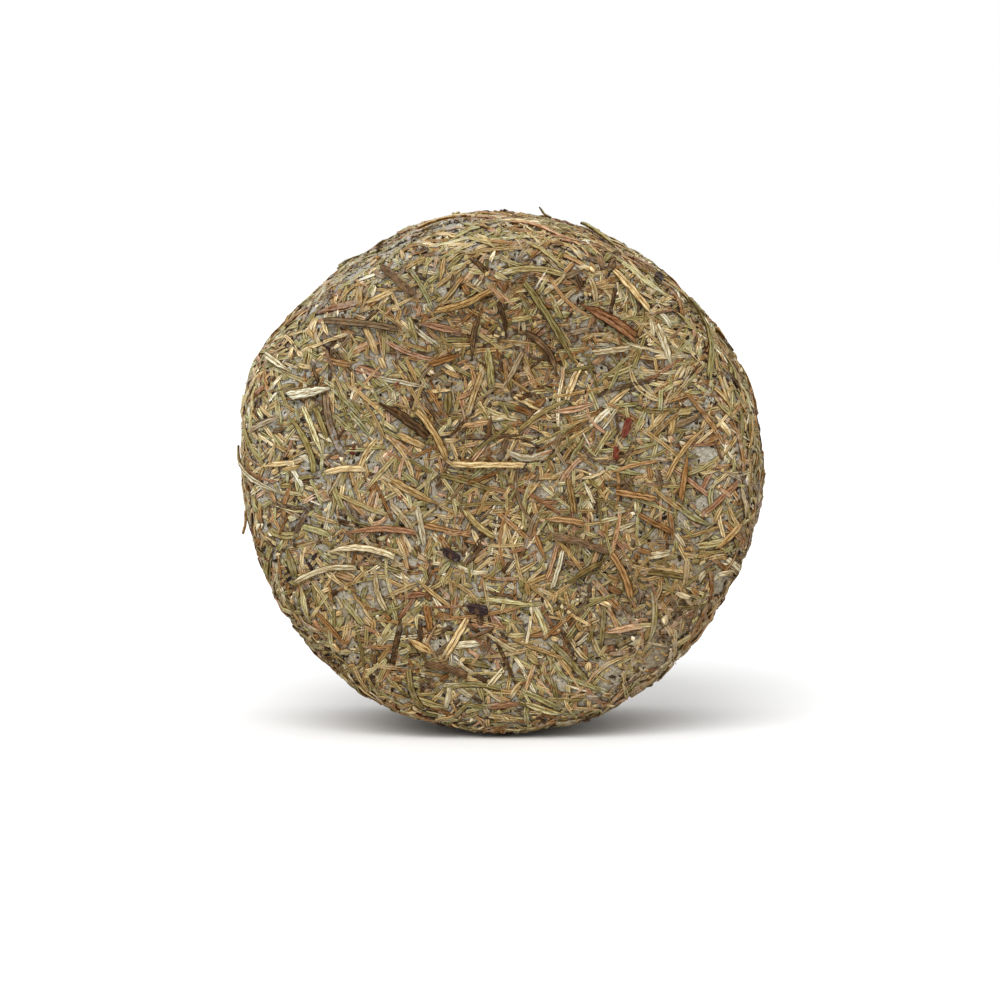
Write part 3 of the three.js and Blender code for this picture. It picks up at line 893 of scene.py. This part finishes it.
def strand_map(count, steps, around, cell_of, columns, rows):
    """Where each strand's skin lies on the flat map: one cell for each, along it and round it."""
    ring = np.arange(around)
    u = np.arange(steps) / (steps - 1)
    v = np.arange(around + 1) / around
    step = np.arange(steps - 1)[:, None]
    quad_u = np.stack([u[step] + 0 * ring, u[step + 1] + 0 * ring] * 2, -1)[..., [0, 1, 3, 2]]
    quad_v = np.stack([v[ring], v[ring], v[ring + 1], v[ring + 1]], -1)[None] + 0 * quad_u
    caps_u = np.concatenate([np.full(around, u[0]), np.full(around, u[-1])])
    caps_v = np.concatenate([v[ring], v[ring[::-1]]])
    one = np.stack(
        [np.concatenate([quad_u.ravel(), caps_u]), np.concatenate([quad_v.ravel(), caps_v])], -1
    )
    cell = cell_of + np.arange(count)
    corner = np.stack([cell % columns, cell // columns], -1)[:, None]
    inside = MAP_MARGIN + (1 - 2 * MAP_MARGIN) * one[None]
    return ((corner + inside) / np.array([columns, rows])).reshape(-1, 2)


def make_mesh(name, verts, corners, sizes, numbers, flat_map=None, smooth_faces=True):
    """A mesh from millimetre vertices, kept off the table, with its shader numbers."""
    verts = np.array(verts, dtype=float).reshape(-1, 3)
    verts[:, 2] = np.maximum(verts[:, 2], TABLE_CLEARANCE)
    mesh = bpy.data.meshes.new(name)
    mesh.vertices.add(len(verts))
    mesh.vertices.foreach_set("co", (verts * MM).astype(np.float32).ravel())
    mesh.loops.add(len(corners))
    mesh.loops.foreach_set("vertex_index", corners.astype(np.int32))
    mesh.polygons.add(len(sizes))
    starts = np.concatenate([[0], np.cumsum(sizes)[:-1]])
    mesh.polygons.foreach_set("loop_start", starts.astype(np.int32))
    mesh.polygons.foreach_set("use_smooth", np.full(len(sizes), smooth_faces))
    for key, values in numbers.items():
        layer = mesh.attributes.new(key, "FLOAT", "POINT")
        layer.data.foreach_set("value", np.asarray(values, np.float32).ravel())
    if flat_map is not None:
        layer = mesh.uv_layers.new(name="OFBake", do_init=False)
        layer.uv.foreach_set("vector", flat_map.astype(np.float32).ravel())
    mesh.update(calc_edges=True)
    mesh.validate()
    return mesh


def add_piece(name, mesh, material, stands_for=()):
    """Puts a piece in the scene, riding with the wheel and standing for its CAD nodes, if any."""
    if not mesh.polygons:
        raise RuntimeError(f"{name} came out with no faces")
    piece = bpy.data.objects.new(name, mesh)
    bpy.context.scene.collection.objects.link(piece)
    mesh.materials.append(material)
    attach(piece, BODY)
    if stands_for:
        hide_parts(*stands_for)


def detail(strand):
    """How many steps a strand has, and how many corners round it."""
    return len(strand["spine"]), len(SECTIONS[strand["shape"]])


def strands_mesh(name, strands):
    """One mesh of many strands, grouped by how many steps and corners they have."""
    total = len(strands)
    columns = max(1, round(math.sqrt(total / MAP_CELL_WIDTH)))
    rows = math.ceil(total / columns)
    verts, corners, sizes, maps = [], [], [], []
    numbers = {}
    start, done = 0, 0
    for steps, around in sorted({detail(s) for s in strands}):
        group = [s for s in strands if detail(s) == (steps, around)]
        points, found = strand_batch(group)
        verts.append(points.reshape(-1, 3))
        for key, values in found.items():
            numbers.setdefault(key, []).append(values.reshape(-1))
        group_corners, group_sizes = strand_faces(len(group), steps, around, start)
        corners.append(group_corners)
        sizes.append(group_sizes)
        maps.append(strand_map(len(group), steps, around, done, columns, rows))
        start += points.size // 3
        done += len(group)
    joined = {key: np.concatenate(values) for key, values in numbers.items()}
    verts, corners, sizes, maps = map(np.concatenate, (verts, corners, sizes, maps))
    return make_mesh(name, verts, corners, sizes, joined, maps)


def rind_mesh():
    """The skin drawn in by the coat's depth, and uneven, so that it half buries the lowest bits."""
    look = settings().rind
    surface = skin()
    ripple = look.ripple / MM
    depth = look.depth / MM
    rise = np.array(
        [
            noise.noise(Vector(point) * 0.33) * 0.6 + noise.noise(Vector(point) * 1.1) * 0.4
            for point in surface.points
        ]
    )
    points = surface.points + surface.normals * (ripple * rise - depth)[:, None]
    corners = np.array([corner for face in surface.faces for corner in face])
    sizes = np.array([len(face) for face in surface.faces])
    # Painted light and shade of each point, as on the coat.
    shade = [painted_light_and_shade(point) for point in surface.points]
    return make_mesh("rind", points, corners, sizes, {"shade": shade})


def flake_mesh(name, flakes):
    """Small cupped plates with uneven edges, each a closed lens of skin."""
    around = FLAKE_CORNERS
    verts, corners, sizes = [], [], []
    numbers = {"along": [], "across": [], "pick": [], "shade": [], "bury": []}
    rng = np.random.default_rng(len(flakes))
    angle = np.linspace(0.0, 2 * math.pi, around, endpoint=False)
    blunt_x, blunt_y = (
        np.sign(wave) * np.abs(wave) ** power
        for wave, power in zip((np.cos(angle), np.sin(angle)), FLAKE_BLUNTNESS)
    )
    for flake in flakes:
        base = sum(len(block) for block in verts)
        uneven = 1 + 0.1 * np.sin(2 * angle + rng.uniform(0, 6)) + rng.normal(0, 0.05, around)
        x = flake["length"] / 2 * blunt_x * uneven
        y = flake["width"] / 2 * blunt_y * uneven
        out, heading = flake["out"], flake["heading"]
        side = np.cross(out, heading)
        layers = []
        for ring, lift in FLAKE_RINGS:
            count = 1 if ring == 0.0 else around
            px, py = (x * ring, y * ring) if count > 1 else (np.zeros(1), np.zeros(1))
            cup = flake["cup"] * (2 * px / flake["length"]) ** 2 + rng.normal(0, 0.03, count)
            height = flake["thick"] * lift + cup
            layers.append(
                flake["place"] + px[:, None] * heading + py[:, None] * side + height[:, None] * out
            )
            numbers["along"].append(px)
            numbers["across"].append(py / flake["width"] * 2)
        block = np.concatenate(layers)
        verts.append(block)
        for key, value in (("pick", flake["pick"]), ("shade", 1.0), ("bury", 0.1)):
            numbers[key].append(np.full(len(block), value))
        last = base + len(block) - 1
        for i in range(around):
            j = (i + 1) % around
            corners += [base, base + 1 + i, base + 1 + j]
            for a in range(base + 1, last - around, around):
                b = a + around
                corners += [a + i, b + i, b + j, a + j]
            corners += [last - around + j, last - around + i, last]
            sizes += [3, *[4] * (len(FLAKE_RINGS) - 3), 3]
    joined = {key: np.concatenate(values) for key, values in numbers.items()}
    return make_mesh(name, np.concatenate(verts), np.array(corners), np.array(sizes), joined)


def cad_flake(node):
    """A flake's place, lie and size, from its CAD node."""
    thick = CAD_FLAKE_THICK
    points = read(node.data.vertices, "co", 3) / MM
    middle = points.mean(0)
    out = np.array(skin().nearest(Vector(middle))[1])
    flat = (points - middle) - ((points - middle) @ out)[:, None] * out
    heading = unit(np.linalg.svd(flat)[2][0])
    side = np.cross(out, heading)
    return {
        "place": middle - out * (thick * 0.5),
        "out": out,
        "heading": heading,
        "length": np.ptp(flat @ heading),
        "width": np.ptp(flat @ side),
        "thick": thick,
        "cup": 0.35,
        "pick": 0.5,
    }


def loose_flakes(count, low, high, seed):
    """Small flakes pressed among the needles, at the height of the coat there."""
    rng = np.random.default_rng(seed)
    laid = coat()
    made = []
    for _ in range(count):
        place, out = skin().nearest(laid.start())
        out = np.array(out)
        heading = unit(np.cross(out, rng.normal(size=3)))
        place = np.array(place)
        lift = float(laid.top[laid.cells(place)]) * 0.7 - laid.rind_depth
        length = rng.uniform(low, high)
        made.append(
            {
                "place": place + out * lift,
                "out": out,
                "heading": heading,
                "length": length,
                "width": length * rng.uniform(0.4, 0.8),
                "thick": LOOSE_FLAKE_THICK,
                "cup": rng.uniform(0.0, 0.3),
                "pick": rng.random(),
            }
        )
    return made


def crumbs_mesh(count):
    """Fine splinters, each a small spindle, lying in the lowest of a few random places."""
    rng = np.random.default_rng(CRUMB_SEED)
    laid = coat()
    surface = skin()
    picks = rng.integers(len(surface.points), size=(count, CRUMB_TRIES))
    heights = laid.top[laid.cells(surface.points[picks])]
    bare = laid.bareness(surface.points[picks].reshape(-1, 3)).reshape(picks.shape)
    shy = bare * rng.uniform(0.0, 1.6, picks.shape)
    best = (np.arange(count), (heights + shy).argmin(1))
    chosen = picks[best]
    lift = heights[best] * 0.85 + rng.uniform(-0.08, 0.2, count) - laid.rind_depth
    out = surface.normals[chosen]
    place = surface.points[chosen] + out * lift[:, None]
    flat = np.cross(out, rng.normal(size=(count, 3)))
    heading = unit(flat + out * rng.normal(0, 0.3, (count, 1)))
    side = unit(np.cross(out, heading))
    axes = np.stack([heading, side, np.cross(heading, side)], 1)
    bead = np.array([(1, 0, 0), (-1, 0, 0), (0, 1, 0), (0, -1, 0), (0, 0, 1), (0, 0, -1)], float)
    sides = np.array(
        [(0, 2, 4), (2, 1, 4), (1, 3, 4), (3, 0, 4), (2, 0, 5), (1, 2, 5), (3, 1, 5), (0, 3, 5)]
    )
    reach = rng.gamma(3.0, 0.14, count).clip(0.12, 1.0)
    wide = reach * rng.uniform(0.25, 0.8, count).clip(0.0, 0.4 / reach)
    size = np.stack([reach, wide, wide * rng.uniform(0.3, 0.7, count)], 1)
    shape = bead[None] * size[:, None] * rng.uniform(0.7, 1.3, (count, 6, 1))
    verts = place[:, None] + np.einsum("nkj,nji->nki", shape, axes)
    corners = (sides[None] + (np.arange(count) * 6)[:, None, None]).ravel()
    pick = np.repeat(rng.random(count), 6)
    return make_mesh(
        "crumbs", verts, corners, np.full(count * 8, 3), {"pick": pick}, smooth_faces=False
    )


# ---------------------------------------------------------------- operators

SENSOR_WIDTH = 36.0  # mm
TABLE_HALF = 3.0  # metres


class CHEESE_OT_rind(bpy.types.Operator):
    """Make the bloomy rind that the coat is pressed into"""

    bl_idname = "cheese.rind"
    bl_label = "Rind"

    def execute(self, context):
        add_piece("rind", rind_mesh(), rind_material(), ["cheese"])
        return {"FINISHED"}


class CHEESE_OT_needles(bpy.types.Operator):
    """Make all the needles of one colour, the frame's long ones among them"""

    bl_idname = "cheese.needles"
    bl_label = "Needles"
    kind: StringProperty(name="Kind", description="Which colour of needle", default="olive")

    def execute(self, context):
        prefix = f"needle_{self.kind}"
        name = f"{self.kind}_needles"
        mesh = strands_mesh(name, coat().strands_of(self.kind))
        add_piece(name, mesh, needle_material(self.kind), nodes_of(prefix))
        return {"FINISHED"}


class CHEESE_OT_slivers(bpy.types.Operator):
    """Make the thin white slivers"""

    bl_idname = "cheese.slivers"
    bl_label = "White slivers"

    def execute(self, context):
        mesh = strands_mesh("white_slivers", coat().strands_of("sliver"))
        add_piece("white_slivers", mesh, needle_material("sliver", spread=0.15))
        return {"FINISHED"}


class CHEESE_OT_twigs(bpy.types.Operator):
    """Make the woody bits of stem"""

    bl_idname = "cheese.twigs"
    bl_label = "Twigs"

    def execute(self, context):
        mesh = strands_mesh("twigs", coat().strands_of("twig"))
        material = needle_material("twig", grooved=False, gloss=0.55)
        add_piece("twigs", mesh, material, nodes_of("twig"))
        return {"FINISHED"}


class CHEESE_OT_flakes(bpy.types.Operator):
    """Make the flakes of one sort: red chilli, or dark berry skin"""

    bl_idname = "cheese.flakes"
    bl_label = "Flakes"
    kind: StringProperty(name="Kind", description="chilli or berry_skin", default="chilli")
    loose: IntProperty(name="Loose", description="How many small ones lie loose", default=10)
    smallest: length_setting("Smallest", "Length of the smallest loose flake", 0.8)
    largest: length_setting("Largest", "Length of the largest loose flake", 2.2)

    def execute(self, context):
        names = nodes_of(self.kind)
        flakes = [cad_flake(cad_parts[name]) for name in names]
        flakes += loose_flakes(self.loose, self.smallest / MM, self.largest / MM, len(self.kind))
        material = needle_material(self.kind, grooved=False, gloss=0.28)
        add_piece(f"{self.kind}_flakes", flake_mesh(self.kind, flakes), material, names)
        return {"FINISHED"}


class CHEESE_OT_crumbs(bpy.types.Operator):
    """Scatter fine crumbs in the gaps of the coat"""

    bl_idname = "cheese.crumbs"
    bl_label = "Crumbs"

    def execute(self, context):
        mesh = crumbs_mesh(settings().coat.crumbs)
        add_piece("crumbs", mesh, crumb_material())
        return {"FINISHED"}


class CHEESE_OT_stage(bpy.types.Operator):
    """Set up the camera, the soft light and the white table"""

    bl_idname = "cheese.stage"
    bl_label = "Stage"

    def execute(self, context):
        look = settings().stage
        scene = context.scene
        centre = Vector(WHEEL_CENTRE) * MM
        aim = centre - Vector((look.aim_left, 0.0, look.aim_below))
        back = Vector((0.0, -math.cos(look.elevation), math.sin(look.elevation)))

        camera = bpy.data.cameras.new("camera")
        camera.sensor_width = SENSOR_WIDTH
        camera.lens = SENSOR_WIDTH * look.distance / look.framed
        camera.clip_end = 20.0
        camera_object = bpy.data.objects.new("camera", camera)
        scene.collection.objects.link(camera_object)
        camera_object.location = aim + back * look.distance
        camera_object.rotation_euler = (-back).to_track_quat("-Z", "Y").to_euler()
        scene.camera = camera_object

        self.add_light(scene, look)
        self.add_table(scene)

        world = bpy.data.worlds.new("white_room")
        world.use_nodes = True
        background = world.node_tree.nodes["Background"]
        background.inputs["Color"].default_value = (1.0, 1.0, 1.0, 1.0)
        background.inputs["Strength"].default_value = look.fill
        scene.world = world
        scene.view_settings.view_transform = "Standard"
        scene.view_settings.look = "None"
        return {"FINISHED"}

    def add_light(self, scene, look):
        lamp = bpy.data.lights.new("softbox", "SUN")
        lamp.energy = look.key
        lamp.angle = look.key_spread
        lamp_object = bpy.data.objects.new("softbox", lamp)
        scene.collection.objects.link(lamp_object)
        level = math.cos(look.key_height)
        left, near = level * math.sin(look.key_side), level * math.cos(look.key_side)
        toward_light = Vector((-left, -near, math.sin(look.key_height)))
        lamp_object.location = toward_light
        lamp_object.rotation_euler = toward_light.to_track_quat("Z", "Y").to_euler()

    def add_table(self, scene):
        edges = ((-1, -1), (1, -1), (1, 1), (-1, 1))
        mesh = bpy.data.meshes.new("table")
        mesh.from_pydata([(TABLE_HALF * x, TABLE_HALF * y, 0.0) for x, y in edges], [], [range(4)])
        mesh.materials.append(table_material())
        table = bpy.data.objects.new("table", mesh)
        scene.collection.objects.link(table)


class CHEESE_PT_panel(bpy.types.Panel):
    """The steps of the build, in order"""

    bl_label = "Herb-coated cheese"
    bl_idname = "CHEESE_PT_panel"
    bl_space_type = "VIEW_3D"
    bl_region_type = "UI"
    bl_category = "Cheese"

    def draw(self, context):
        layout = self.layout
        look = settings()
        for group in (look.rind, look.coat, look.colours, look.stage):
            box = layout.box()
            for name in group.__annotations__:
                box.prop(group, name)
        layout.operator("cheese.rind")
        for kind in KINDS:
            layout.operator("cheese.needles", text=f"{kind} needles").kind = kind
        for name in ("cheese.slivers", "cheese.twigs"):
            layout.operator(name)
        for kind in ("chilli", "berry_skin"):
            layout.operator("cheese.flakes", text=kind).kind = kind
        layout.operator("cheese.crumbs")
        layout.operator("cheese.stage")


CLASSES = (
    RindSettings,
    CoatSettings,
    NeedleColours,
    StageSettings,
    CheeseSettings,
    CHEESE_OT_rind,
    CHEESE_OT_needles,
    CHEESE_OT_slivers,
    CHEESE_OT_twigs,
    CHEESE_OT_flakes,
    CHEESE_OT_crumbs,
    CHEESE_OT_stage,
    CHEESE_PT_panel,
)


def register():
    for cls in CLASSES:
        bpy.utils.register_class(cls)
    bpy.types.Scene.herb_cheese = PointerProperty(type=CheeseSettings)


def unregister():
    del bpy.types.Scene.herb_cheese
    for cls in reversed(CLASSES):
        bpy.utils.unregister_class(cls)


def main():
    register()
    bpy.ops.cheese.stage()
    bpy.ops.cheese.rind()
    for kind in KINDS:
        bpy.ops.cheese.needles(kind=kind)
    bpy.ops.cheese.slivers()
    bpy.ops.cheese.twigs()
    bpy.ops.cheese.flakes(kind="chilli", loose=14, smallest=0.7 * MM, largest=1.8 * MM)
    bpy.ops.cheese.flakes(kind="berry_skin", loose=26, smallest=0.8 * MM, largest=2.0 * MM)
    bpy.ops.cheese.crumbs()


if __name__ == "__main__":
    main()
